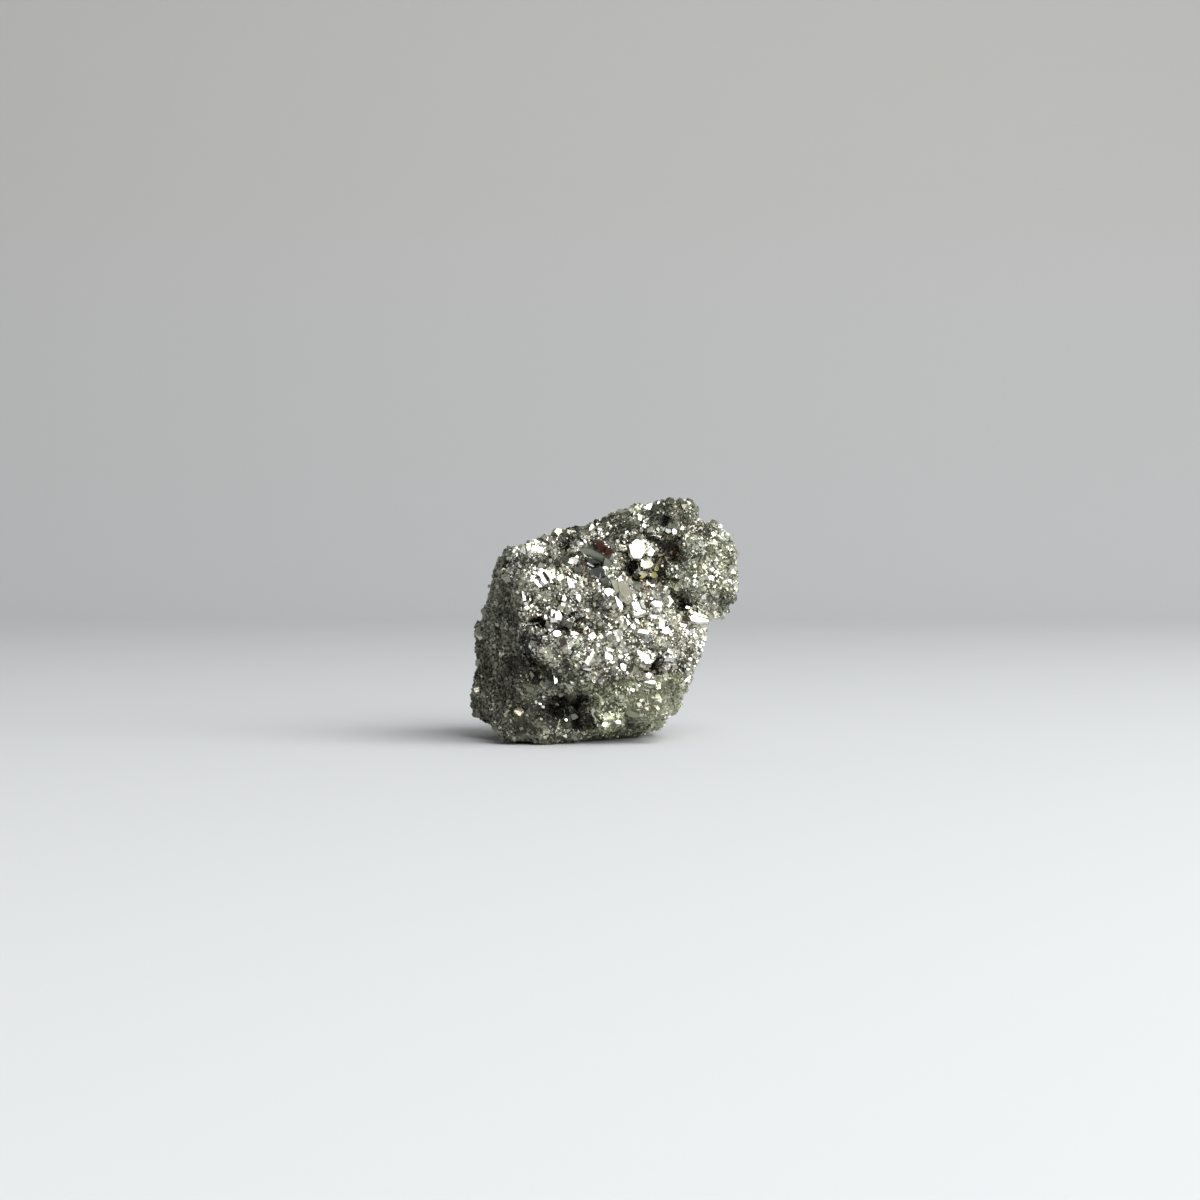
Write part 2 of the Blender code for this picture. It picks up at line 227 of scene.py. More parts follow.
def flatFaces(skin):
    # a number for the whole flat face that each triangle belongs to
    offset = np.einsum("ij,ij->i", skin["normal"], skin["centre"])
    key = np.column_stack([np.round(skin["normal"] * skinRules["directionSteps"]),
                           np.round(offset / skinRules["levelStep"])])
    _, group = np.unique(key, axis=0, return_inverse=True)
    return group.ravel()


def crystalFaces(skin):
    # flat faces with sharp edges all round belong to the stone's large crystals, not to its rough skin
    corners = np.stack([skin["a"], skin["b"], skin["c"]], 1)
    _, index = np.unique(np.round(corners.reshape(-1, 3), 4), axis=0, return_inverse=True)
    ring = index.reshape(-1, 3)
    edges = np.sort(np.stack([ring, np.roll(ring, -1, 1)], 2).reshape(-1, 2), 1)
    owner = np.repeat(np.arange(len(ring)), 3)
    order = np.lexsort(edges.T)
    edges, owner = edges[order], owner[order]
    shared = np.flatnonzero((edges[1:] == edges[:-1]).all(1))
    one, other = owner[shared], owner[shared + 1]
    cosine = np.einsum("ij,ij->i", skin["normal"][one], skin["normal"][other])
    turn = np.degrees(np.arccos(np.clip(cosine, -1, 1)))
    group = flatFaces(skin)
    border = group[one] != group[other]
    total = np.bincount(group[one[border]], weights=turn[border], minlength=group.max() + 1)
    total += np.bincount(group[other[border]], weights=turn[border], minlength=group.max() + 1)
    count = np.bincount(group[one[border]], minlength=group.max() + 1)
    count += np.bincount(group[other[border]], minlength=group.max() + 1)
    area = np.bincount(group, weights=skin["area"])
    isCrystal = (total / np.maximum(count, 1) > skinRules["sharpTurn"]) & (area > skinRules["crystalArea"])
    return isCrystal[group]


skin = readStone(stone)
skin["hollow"] = hollowness(skin)
skin["crystal"] = crystalFaces(skin)
skinTree = BVHTree.FromPolygons(
    [Vector(p) for corner in zip(skin["a"], skin["b"], skin["c"]) for p in corner],
    [(3 * i, 3 * i + 1, 3 * i + 2) for i in range(len(skin["area"]))],
)
print("skin read:", len(skin["area"]), "triangles,", round(float(skin["area"].sum())), "square mm,",
      round(float(skin["area"][skin["crystal"]].sum())), "of them crystal faces")


# crystal forms, each about one unit across, as points and flat faces

def outwardFaces(points, faces):
    kept = []
    for face in faces:
        corner = [Vector(points[i]) for i in face]
        middle = sum(corner, Vector()) / len(corner)
        turn = (corner[1] - corner[0]).cross(corner[2] - corner[0])
        kept.append(face if turn.dot(middle) > 0 else face[::-1])
    return kept


def hullForm(points):
    # the convex hull of some points, with its coplanar triangles joined into whole faces
    shape = bmesh.new()
    for p in points:
        shape.verts.new(p)
    bmesh.ops.convex_hull(shape, input=shape.verts)
    bmesh.ops.dissolve_limit(shape, angle_limit=0.02, verts=shape.verts, edges=shape.edges)
    shape.verts.ensure_lookup_table()
    shape.verts.index_update()
    corners = [tuple(v.co) for v in shape.verts]
    faces = [[v.index for v in f.verts] for f in shape.faces]
    shape.free()
    return np.array(corners), outwardFaces(corners, faces)


def cubePoints(half=0.5):
    return [(x, y, z) for x in (-half, half) for y in (-half, half) for z in (-half, half)]


def cutCubePoints(cut):
    # a cube whose corners are cut off, cut from 0 (none) to 0.5 (to the middles of the edges)
    points = []
    for x, y, z in cubePoints():
        for axis in range(3):
            p = [x, y, z]
            p[axis] -= math.copysign(cut, p[axis])
            points.append(tuple(p))
    return points


def pyritohedronPoints(half=0.40, tall=0.5):
    points = cubePoints(half)
    long, short = half * (1 + tall), half * (1 - tall ** 2)
    for s in (-1, 1):
        for t in (-1, 1):
            points += [(0, s * short, t * long), (s * short, t * long, 0), (t * long, 0, s * short)]
    return points


def octahedronPoints(half=0.62):
    return [(half, 0, 0), (-half, 0, 0), (0, half, 0), (0, -half, 0), (0, 0, half), (0, 0, -half)]


def chipPoints(seed, count=9, reach=(0.62, 0.52, 0.42)):
    # an irregular splinter of a crystal
    roll = np.random.default_rng(seed)
    direction = roll.normal(size=(count, 3))
    direction /= np.linalg.norm(direction, axis=1)[:, None]
    return [tuple(p) for p in direction * np.array(reach)]


def platePoints(outline, thick=0.30, flare=1.30):
    # a flat facet of irregular outline, facing +Z, with bevelled sides that widen below it
    points = []
    for degrees, reach in outline:
        x = reach * math.cos(math.radians(degrees))
        y = reach * math.sin(math.radians(degrees))
        points += [(x, y, 0.5 * thick), (x * flare, y * flare, -0.5 * thick)]
    return points


forms = {
    "plateA": hullForm(platePoints([(10, 0.50), (75, 0.42), (140, 0.52), (200, 0.40), (290, 0.50)])),
    "plateB": hullForm(platePoints([(0, 0.42), (50, 0.52), (120, 0.44), (170, 0.50), (235, 0.42),
                                    (310, 0.48)])),
    "plateC": hullForm(platePoints([(20, 0.55), (130, 0.46), (190, 0.50), (320, 0.46)])),
    "cube": hullForm(cubePoints()),
    "cutCube": hullForm(cutCubePoints(0.30)),
    "cubeOctahedron": hullForm(cutCubePoints(0.5)),
    "pyritohedron": hullForm(pyritohedronPoints()),
    "octahedron": hullForm(octahedronPoints()),
    "chipA": hullForm(chipPoints(3)),
    "chipB": hullForm(chipPoints(11, 10)),
    "chipC": hullForm(chipPoints(23, 8)),
}
print("crystal forms:", {name: len(form[1]) for name, form in forms.items()})


# turning crystals

def randomTurns(count):
    q = dice.normal(size=(count, 4))
    q /= np.linalg.norm(q, axis=1)[:, None]
    w, x, y, z = q.T
    return np.stack([
        np.stack([1 - 2 * (y * y + z * z), 2 * (x * y - z * w), 2 * (x * z + y * w)], 1),
        np.stack([2 * (x * y + z * w), 1 - 2 * (x * x + z * z), 2 * (y * z - x * w)], 1),
        np.stack([2 * (x * z - y * w), 2 * (y * z + x * w), 1 - 2 * (x * x + y * y)], 1),
    ], 1)


def turnsFacing(direction, stray):
    # rotations whose third axis points along each direction, give or take stray degrees
    direction = direction + dice.normal(size=direction.shape) * math.tan(math.radians(stray))
    z = direction / np.linalg.norm(direction, axis=1)[:, None]
    x = np.cross(z, dice.normal(size=z.shape))
    x /= np.linalg.norm(x, axis=1)[:, None]
    return np.stack([x, np.cross(z, x), z], 2)


# one mesh out of many crystals: places, sizes, turns, tints and polish are arrays with a row per crystal

def writeLayer(mesh, name, kind, domain, field, values):
    mesh.attributes.new(name, kind, domain).data.foreach_set(field, values.ravel())


def crystalMesh(name, batches, material):
    points, tints, polish, loops, starts, spots = [], [], [], [], [], []
    pointCount = loopCount = 0
    for form, place, size, turn, tint, gloss in batches:
        if not len(place):
            continue
        corner, faces = forms[form]
        local = corner[None, :, :] * size[:, None, :]
        world = np.einsum("nij,nkj->nki", turn, local) + place[:, None, :]
        points.append(world.reshape(-1, 3))
        tints.append(np.repeat(tint, len(corner), axis=0))
        polish.append(np.repeat(gloss, len(corner)))
        base = pointCount + np.arange(len(place))[:, None] * len(corner)
        ring = np.array([i for face in faces for i in face])
        loops.append((base + ring[None, :]).ravel())
        lengths = np.array([len(face) for face in faces])
        first = np.concatenate([[0], np.cumsum(lengths)[:-1]])
        starts.append((loopCount + np.arange(len(place))[:, None] * len(ring) + first[None, :]).ravel())
        spots.append(faceSpots(corner, faces, size))
        pointCount += len(place) * len(corner)
        loopCount += len(place) * len(ring)
    mesh = bpy.data.meshes.new(name)
    mesh.vertices.add(pointCount)
    mesh.vertices.foreach_set("co", (np.concatenate(points) * mm).ravel())
    mesh.loops.add(loopCount)
    mesh.loops.foreach_set("vertex_index", np.concatenate(loops))
    allStarts = np.concatenate(starts)
    mesh.polygons.add(len(allStarts))
    mesh.polygons.foreach_set("loop_start", allStarts)
    mesh.update(calc_edges=True)
    mesh.shade_flat()
    colours = np.column_stack([np.concatenate(tints), np.ones(pointCount)])
    writeLayer(mesh, "tint", "FLOAT_COLOR", "POINT", "color", colours)
    writeLayer(mesh, "polish", "FLOAT", "POINT", "value", np.concatenate(polish))
    writeLayer(mesh, "faceSpot", "FLOAT_VECTOR", "CORNER", "vector", np.concatenate(spots))
    mesh.materials.append(material)
    piece = bpy.data.objects.new(name, mesh)
    bpy.context.scene.collection.objects.link(piece)
    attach(piece, "root")
    triangles = loopCount - 2 * len(allStarts)
    print(name, "crystals", sum(len(batch[1]) for batch in batches), "triangles", triangles)


def faceSpots(corner, faces, size):
    # where each corner lies on its own flat face, in millimetres, with a number of its own for each face
    count = len(size)
    parts = []
    for face in faces:
        flat = corner[face]
        along = flat[1] - flat[0]
        along /= np.linalg.norm(along)
        up = np.cross(flat[1] - flat[0], flat[2] - flat[1])
        up /= np.linalg.norm(up)
        side = np.cross(up, along)
        scale = size.mean(1)[:, None]
        u = (flat @ along)[None, :] * scale
        v = (flat @ side)[None, :] * scale
        own = np.repeat(dice.random((count, 1)) * 50, len(face), axis=1)
        parts.append(np.stack([u, v, own], 2))
    return np.concatenate(parts, axis=1).reshape(-1, 3)


# materials

# what the finishes share, with sizes and depths in mm
crystalSurface = {
    "stainDetail": 4, "stainFrom": 0.35, "stainTo": 0.70,
    "smearSize": 0.35, "smearDetail": 3,
    "linesPerMm": 2.1, "lineBend": 2.5, "lineDetail": 3, "lineDetailSize": 2, "lineDepth": 0.02,
    "warpSize": 0.55, "warpDetail": 2, "warpDepth": 0.10,
    "pitSize": 0.16, "pitDetail": 5, "pitDepth": 0.04,
}


def nodeAt(tree, kind, values=None, **settings):
    # a node with its settings, then the values on its sockets
    node = tree.nodes.new(kind)
    for name, value in settings.items():
        setattr(node, name, value)
    for socket, value in (values or {}).items():
        node.inputs[socket].default_value = value
    return node


def noiseAt(tree, coord, size, detail):
    # noise with spots of about this size
    node = nodeAt(tree, "ShaderNodeTexNoise", {"Scale": 1000 / size, "Detail": detail})
    tree.links.new(coord.outputs["Object"], node.inputs["Vector"])
    return node.outputs["Fac"]


def reliefAt(tree, height, strength, depth, under=None):
    # relief laid over the relief under it
    node = nodeAt(tree, "ShaderNodeBump", {"Strength": strength, "Distance": depth * mm})
    tree.links.new(height, node.inputs["Height"])
    if under:
        tree.links.new(under, node.inputs["Normal"])
    return node.outputs["Normal"]


def crystalMaterial(name, look):
    surface = crystalSurface
    material = bpy.data.materials.new(name)
    material.use_nodes = True
    tree = material.node_tree
    links = tree.links
    shader = tree.nodes["Principled BSDF"]
    shader.inputs["Metallic"].default_value = look["metallic"]
    coord = nodeAt(tree, "ShaderNodeTexCoord")

    tint = nodeAt(tree, "ShaderNodeAttribute", attribute_name="tint")
    stain = noiseAt(tree, coord, look["stainSize"], surface["stainDetail"])
    stainShare = nodeAt(tree, "ShaderNodeMapRange",
                        {"From Min": surface["stainFrom"], "From Max": surface["stainTo"]})
    stained = nodeAt(tree, "ShaderNodeMix", {"B": (*look["stain"], 1)}, data_type="RGBA", blend_type="MULTIPLY")
    links.new(stain, stainShare.inputs["Value"])
    links.new(stainShare.outputs["Result"], stained.inputs["Factor"])
    links.new(tint.outputs["Color"], stained.inputs["A"])
    links.new(stained.outputs["Result"], shader.inputs["Base Color"])

    polish = nodeAt(tree, "ShaderNodeAttribute", attribute_name="polish")
    smear = noiseAt(tree, coord, surface["smearSize"], surface["smearDetail"])
    smearSpan = nodeAt(tree, "ShaderNodeMapRange", {"To Min": -look["smear"], "To Max": look["smear"]})
    smeared = nodeAt(tree, "ShaderNodeMath", operation="ADD", use_clamp=True)
    links.new(smear, smearSpan.inputs["Value"])
    links.new(polish.outputs["Fac"], smeared.inputs[0])
    links.new(smearSpan.outputs["Result"], smeared.inputs[1])
    links.new(smeared.outputs["Value"], shader.inputs["Roughness"])

    # growth lines run along each flat face, under gentle waves and fine pitting
    spot = nodeAt(tree, "ShaderNodeAttribute", attribute_name="faceSpot")
    lines = nodeAt(tree, "ShaderNodeTexWave", {
        "Scale": surface["linesPerMm"], "Distortion": surface["lineBend"],
        "Detail": surface["lineDetail"], "Detail Scale": surface["lineDetailSize"],
    }, wave_type="BANDS", bands_direction="X")
    links.new(spot.outputs["Vector"], lines.inputs["Vector"])
    warp = noiseAt(tree, coord, surface["warpSize"], surface["warpDetail"])
    pits = noiseAt(tree, coord, surface["pitSize"], surface["pitDetail"])
    lined = reliefAt(tree, lines.outputs["Fac"], look["lines"], surface["lineDepth"])
    warped = reliefAt(tree, warp, look["warp"], surface["warpDepth"], lined)
    pitted = reliefAt(tree, pits, look["pits"], surface["pitDepth"], warped)
    links.new(pitted, shader.inputs["Normal"])
    return material


brightPyrite = crystalMaterial("brightPyrite", {
    "metallic": 1.0, "stain": (0.70, 0.68, 0.58), "stainSize": 3.0, "smear": 0.08,
    "lines": 0.14, "warp": 0.32, "pits": 0.10,
})
dullPyrite = crystalMaterial("dullPyrite", {
    "metallic": 0.85, "stain": (0.64, 0.62, 0.50), "stainSize": 2.2, "smear": 0.12,
    "lines": 0.12, "warp": 0.38, "pits": 0.40,
})
facetPyrite = crystalMaterial("facetPyrite", {
    "metallic": 1.0, "stain": (0.82, 0.81, 0.75), "stainSize": 4.0, "smear": 0.05,
    "lines": 0.12, "warp": 0.27, "pits": 0.08,
})
gapPyrite = crystalMaterial("gapPyrite", {
    "metallic": 0.7, "stain": (0.60, 0.56, 0.44), "stainSize": 1.6, "smear": 0.15,
    "lines": 0.12, "warp": 0.7, "pits": 1.0,
})


# where each kind of growth lies, by the place of a triangle and the way it faces

def zoneMasks(skin):
    x, y, z = skin["centre"].T
    nx, ny, nz = skin["normal"].T
    under = (nz < -0.75) & (z < 3) | (z < 0.35)
    left = (nx < -0.6) & (x < -9.6) & (y < 7) & ~under
    rear = (ny > 0.15) & ~left & ~under
    facing = ~rear & ~left & ~under
    lobe = facing & (x > 9.5) & (z > 17)
    top = facing & ~lobe & ((z > 28.8) | (nz > 0.75) & (z > 22))
    lowLeft = facing & ~lobe & (z < 9.5 - 0.12 * x) & (x < -2.5)
    lowRight = facing & ~lobe & (z < 8.4) & (x > 3.2)
    low = facing & ~lobe & ~lowLeft & ~lowRight & (z < 9.3)
    front = facing & ~(lobe | top | low | lowLeft | lowRight)
    return {"front": front, "lobe": lobe, "top": top, "low": low, "lowLeft": lowLeft, "lowRight": lowRight,
            "left": left, "rear": rear, "under": under}


# layers of crystals from the largest to the smallest: how far apart they are, the share of the places that
# they fill, their usual size, its limits, how far they stand out in parts of it, and their roughness
layerParts = ("spacing", "share", "usual", "sizes", "lift", "polish")
lowForms = {"cube": 2, "chipA": 3, "chipB": 3, "chipC": 2, "plateA": 1, "plateC": 1}
# The zones' tints are set to the brightness each zone is seen with, so they hold painted shade as well as the
# growth's own tone: the left face and the lower left, which lie in shade, get much darker tints than the front,
# and the top is darker too. Each gap tint, for the stone's own faces between the crystals, is darker still:
# painted shade between them.
growth = {
    "front": {
        "tint": (0.715, 0.715, 0.652), "glint": 0.14, "flash": 0.40, "dull": 0.14, "gap": (0.13, 0.128, 0.105),
        "layers": [
            (1.80, 0.26, 0.95, (0.70, 1.40), (-0.46, -0.18), (0.08, 0.30)),
            (0.74, 0.86, 0.56, (0.30, 0.92), (-0.36, 0.04), (0.10, 0.38)),
            (0.44, 0.78, 0.33, (0.18, 0.50), (-0.25, 0.25), (0.12, 0.42)),
            (0.36, 0.50, 0.22, (0.14, 0.32), (-0.10, 0.55), (0.10, 0.40)),
        ],
        "forms": {"cube": 2, "cutCube": 1, "cubeOctahedron": 1, "chipA": 3, "chipB": 3,
                  "plateA": 2, "plateB": 2, "plateC": 2},
    },
    "lobe": {
        "tint": (0.525, 0.54, 0.465), "glint": 0.06, "flash": 0.32, "dull": 0.30, "gap": (0.14, 0.14, 0.110),
        "layers": [
            (1.40, 0.18, 0.70, (0.45, 0.95), (-0.44, -0.16), (0.12, 0.30)),
            (0.58, 0.86, 0.44, (0.26, 0.66), (-0.32, 0.08), (0.14, 0.38)),
            (0.38, 0.78, 0.28, (0.16, 0.40), (-0.20, 0.25), (0.14, 0.44)),
            (0.34, 0.40, 0.20, (0.13, 0.28), (-0.10, 0.50), (0.12, 0.40)),
        ],
        "forms": {"cube": 4, "cubeOctahedron": 2, "chipA": 3, "chipC": 2, "octahedron": 1, "plateC": 1},
    },
    "top": {
        "tint": (0.315, 0.325, 0.273), "glint": 0.03, "flash": 0.42, "dull": 0.35, "gap": (0.08, 0.08, 0.065),
        "layers": [
            (1.40, 0.28, 0.80, (0.50, 1.05), (-0.46, -0.18), (0.12, 0.34)),
            (0.64, 0.88, 0.50, (0.30, 0.80), (-0.36, 0.04), (0.14, 0.40)),
            (0.44, 0.75, 0.33, (0.18, 0.48), (-0.25, 0.20), (0.16, 0.45)),
        ],
        "forms": {"cube": 4, "cubeOctahedron": 2, "chipA": 3, "chipC": 2, "plateB": 1},
    },
    "low": {
        "tint": (0.48, 0.50, 0.385), "glint": 0.02, "flash": 0.22, "dull": 0.66, "gap": (0.11, 0.114, 0.082),
        "layers": [
            (1.60, 0.25, 0.80, (0.55, 1.10), (-0.48, -0.22), (0.24, 0.46)),
            (0.66, 0.85, 0.49, (0.28, 0.74), (-0.38, 0.0), (0.26, 0.52)),
            (0.40, 0.80, 0.29, (0.16, 0.44), (-0.25, 0.22), (0.26, 0.52)),
            (0.36, 0.35, 0.20, (0.13, 0.28), (-0.10, 0.50), (0.22, 0.45)),
        ],
        "forms": lowForms,
    },
    "lowRight": {
        "tint": (0.485, 0.50, 0.41), "glint": 0.0, "flash": 0.08, "dull": 0.90, "gap": (0.23, 0.24, 0.172),
        "layers": [
            (1.50, 0.25, 0.80, (0.55, 1.10), (-0.50, -0.30), (0.34, 0.54)),
            (0.64, 0.85, 0.48, (0.28, 0.72), (-0.42, -0.08), (0.36, 0.60)),
            (0.40, 0.80, 0.29, (0.16, 0.42), (-0.30, 0.12), (0.34, 0.60)),
        ],
        "forms": lowForms,
    },
    "lowLeft": {
        "tint": (0.30, 0.305, 0.253), "glint": 0.02, "flash": 0.18, "dull": 0.64, "gap": (0.065, 0.067, 0.052),
        "layers": [
            (1.60, 0.28, 0.80, (0.55, 1.10), (-0.48, -0.22), (0.22, 0.46)),
            (0.66, 0.85, 0.49, (0.28, 0.74), (-0.38, 0.0), (0.24, 0.52)),
            (0.40, 0.80, 0.30, (0.16, 0.44), (-0.25, 0.20), (0.24, 0.52)),
        ],
        "forms": lowForms,
    },
    "left": {
        "tint": (0.31, 0.312, 0.262), "glint": 0.0, "flash": 0.10, "dull": 0.70, "gap": (0.085, 0.085, 0.070),
        "layers": [
            (1.10, 0.42, 0.66, (0.45, 0.95), (-0.42, -0.16), (0.22, 0.45)),
            (0.48, 0.95, 0.42, (0.24, 0.62), (-0.34, 0.04), (0.26, 0.52)),
            (0.38, 0.70, 0.27, (0.16, 0.38), (-0.20, 0.25), (0.26, 0.52)),
        ],
        "forms": {"cube": 2, "chipA": 3, "chipB": 3, "chipC": 3, "plateA": 1},
    },
    "rear": {
        "tint": (0.56, 0.56, 0.48), "glint": 0.0, "flash": 0.0, "dull": 0.25, "gap": (0.15, 0.15, 0.12),
        "layers": [
            (1.90, 0.30, 0.95, (0.70, 1.30), (-0.52, -0.32), (0.10, 0.32)),
            (0.90, 0.82, 0.70, (0.40, 1.10), (-0.40, -0.04), (0.12, 0.38)),
            (0.58, 0.80, 0.44, (0.25, 0.65), (-0.25, 0.18), (0.14, 0.42)),
        ],
        "forms": {"cube": 4, "cutCube": 2, "cubeOctahedron": 2, "pyritohedron": 2, "chipA": 3, "plateC": 1},
    },
    "under": {
        "tint": (0.44, 0.455, 0.345), "glint": 0.0, "flash": 0.0, "dull": 0.8, "gap": (0.16, 0.165, 0.122),
        "layers": [
            (0.62, 0.90, 0.46, (0.28, 0.65), (-0.40, -0.05), (0.30, 0.50)),
            (0.42, 0.75, 0.30, (0.18, 0.42), (-0.25, 0.10), (0.30, 0.55)),
        ],
        "forms": {"chipA": 2, "chipB": 2, "chipC": 2},
    },
}

# halfway between the window and the camera: a flat face turned this way flashes white in the photograph
glintWay = Vector(studio["window"]["towards"]).normalized() + Vector((0, -1, 0))
glintWay = np.array(glintWay.normalized())

# patches that the photograph shows paler or darker than the growth around them:
# where they are seen, their radius in its pixels, and how far they go (below 0 is darker).
# The note names the first on its line, and the others are in the same part of the stone
# A pale patch is painted light in the tints of the crystals and the stone's faces there, and turns more crystals
# to flash at the window; a dark patch is painted shade there, lets fewer crystals flash and keeps them smaller.
patches = [
    (538, 549, 9, 0.9), (520, 556, 9, 1), (530, 545, 7, 0.4),  # top left cluster
    (543, 580, 10, 0.6), (524, 574, 10, 0.9), (524, 598, 7, 0.7), (576, 591, 9, 0.7),  # left glitter
    (556, 594, 8, 0.4),  # left middle edge
    (600, 531, 10, 1.0), (588, 532, 6, 0.6),  # ridge glitter
    (609, 588, 9, 0.7),  # upper middle
    (597, 613, 6, 0.3),  # below middle
    (611, 574, 7, 0.5),  # cave edge left
    (577, 611, 8, 0.6),  # above gash
    (590, 627, 8, 0.9),  # gash right
    (628, 615, 13, 1), (657, 619, 10, 1),  # middle streak
    (675, 596, 8, 0.8),  # right streak
    (553, 642, 7, 0.5),  # below gash left
    (576, 657, 7, 0.5),  # middle left low
    (696, 623, 9, 0.6),  # right corner
    (562, 639, 7, 0.1),  # below gash
    (608, 645, 11, 0.9), (627, 662, 10, 1.0),  # middle below
    (665, 660, 8, 1.0),  # cave right
    (672, 643, 7, -0.1),  # far right
    (587, 664, 9, 0.7), (646, 688, 12, 0.9), (612, 699, 12, 0.8), (625, 702, 12, 0.6),  # low band
    (593, 704, 10, 0.9), (640, 708, 9, 0.4),  # low left of middle
    (536, 709, 8, 0.9), (532, 734, 9, 0.2),  # foot upper
    (714, 575, 14, 0.18), (712, 592, 8, 0.4), (722, 546, 9, 0.4), (684, 543, 8, 0.5),  # lobe middle
    (648, 508, 8, 0.5), (634, 517, 9, 0.8),  # top front
    (608, 726, 11, 1),  # bottom cluster
    (668, 541, 6, 0.25),  # cave far
    (671, 587, 9, 1),  # right streak up
    (638, 599, 8, 0.9),  # centre streak
    (600, 628, 8, 0.9), (611, 634, 8, 0.7),  # gash end
    (577, 641, 5, 0.8),  # beside gash far
    (689, 636, 7, 0.5),  # below corner
    (531, 623, 5, 0.6),  # gash edge
    (557, 650, 6, 0.8),  # below gash middle
    (578, 687, 9, 0.5),  # low band under
    (590, 713, 7, 0.9),  # bottom cave right
    (648, 720, 8, 0.5),  # low right foot
    (560, 560, 9, -0.3),  # left of cave
    (627, 566, 8, -0.8), (638, 573, 8, -0.8), (652, 574, 7, -0.65), (649, 581, 8, -0.5),  # cave left
    (660, 573, 7, -0.6),  # cave floor
    (663, 526, 8, -0.5),  # top low
    (651, 540, 6, -0.6), (658, 550, 8, -0.6), (674, 552, 12, -0.5),  # cave above
    (665, 519, 7, -0.9),  # top hollow
    (615, 540, 7, -0.9),  # ridge far
    (687, 513, 9, -0.5), (681, 521, 7, -0.5), (652, 520, 6, -0.5),  # top right
    (547, 536, 7, -0.9), (565, 541, 7, -0.4), (575, 541, 8, -0.9), (589, 543, 7, -0.5),  # ridge crystal
    (572, 530, 8, -0.9), (588, 519, 9, -0.8), (615, 511, 11, -0.8),  # ridge edge left
    (543, 562, 6, -0.5), (557, 566, 6, -0.4),  # left shade
    (589, 583, 7, -0.6), (584, 604, 7, -0.6),  # middle shade up
    (592, 562, 11, -0.45),  # slate shade
    (706, 530, 7, -0.8), (704, 556, 7, -0.5),  # lobe notch
    (540, 620, 7, -0.8), (563, 624, 9, -1),  # gash left
    (602, 603, 8, -0.5),  # middle shade
    (539, 636, 9, -0.6),  # below gash shade
    (518, 622, 7, -0.5),  # left edge shade
    (583, 638, 7, -0.6),  # gash under
    (523, 638, 8, -0.6),  # edge below gash
    (569, 638, 5, -0.6),  # beside gash right
    (653, 668, 7, -1.0), (659, 672, 5, -1.0), (648, 640, 6, -0.6),  # small cave
    (651, 650, 4, -0.8),  # curve shade
    (648, 559, 4, -0.9),  # cave white gap
    (580, 568, 5, -0.5),  # beside round
    (684, 607, 6, -0.8),  # corner hollow
    (619, 676, 6, -0.4),  # middle low right
    (607, 614, 5, -0.4),  # beside middle
    (528, 656, 10, -0.8), (543, 676, 12, -0.6),  # edge middle
    (609, 678, 9, -0.4),  # middle low
    (565, 668, 8, -0.6),  # low edge
    (682, 662, 11, -0.5),  # right edge
    (520, 668, 14, -0.65),  # corner shade
    (551, 713, 12, -0.9), (578, 706, 9, -1.0), (576, 722, 9, -1.0),  # bottom cave left
    (630, 724, 4, -0.9),  # foot crack
    (688, 588, 6, -0.35), (728, 603, 10, -0.55),  # lobe shade
    (478, 720, 14, -0.6), (480, 665, 12, -0.4),  # corner low
]
patchEdge = {"fade": 1.35, "softness": 0.7, "depth": 5}  # the last is how far before and behind its spot, in mm


def seenAt(place):
    # the pixels of the photograph at which the camera sees some places
    across, up, back = ((place - np.array(photoCamera["place"])) @ np.array(cameraTurn)).T
    return frameMiddle - focalPixels * across / back, frameMiddle + focalPixels * up / back


def spotOnStone(pixel):
    # what the camera meets on the stone at a pixel: the place, the way the surface faces, and the distance
    place, normal, _, distance = skinTree.ray_cast(Vector(photoCamera["place"]), rayThrough(pixel))
    return place, normal, distance


# what a single facet is made of, and which way it faces: the window, the floor in front, or with the skin
facetFinish = {
    # The tints also set how bright a facet is seen: white is paler than the pyrite's own tint, a painted
    # highlight over the window's real reflection; slatePale, slate, slateSoft and slateDark are lighter and
    # darker copies of one slate face, painted light and shade; pale and dimGold are darker copies of white and
    # gold, painted shade.
    "white": {"tint": (0.93, 0.935, 0.925), "polish": 0.14, "faces": "window"},
    "pale": {"tint": (0.19, 0.195, 0.185), "polish": 0.22, "faces": "window"},
    "greenPale": {"tint": (0.40, 0.42, 0.335), "polish": 0.38, "faces": "skin"},
    "paleOlive": {"tint": (0.34, 0.35, 0.27), "polish": 0.40, "faces": "skin"},
    "beige": {"tint": (0.35, 0.335, 0.268), "polish": 0.46, "faces": "skin"},
    "slatePale": {"tint": (0.32, 0.34, 0.285), "polish": 0.34, "faces": "floor"},
    "slate": {"tint": (0.245, 0.258, 0.222), "polish": 0.30, "faces": "floor"},
    "slateDark": {"tint": (0.095, 0.099, 0.095), "polish": 0.24, "faces": "floor"},
    "slateSoft": {"tint": (0.30, 0.31, 0.265), "polish": 0.40, "faces": "skin"},
    "gold": {"tint": (0.36, 0.33, 0.155), "polish": 0.22, "faces": "window"},
    "dimGold": {"tint": (0.16, 0.146, 0.062), "polish": 0.28, "faces": "window"},
    "orange": {"tint": (0.22, 0.10, 0.03), "polish": 0.30, "faces": "window"},
    "rust": {"tint": (0.105, 0.042, 0.034), "polish": 0.50, "faces": "floor"},
}

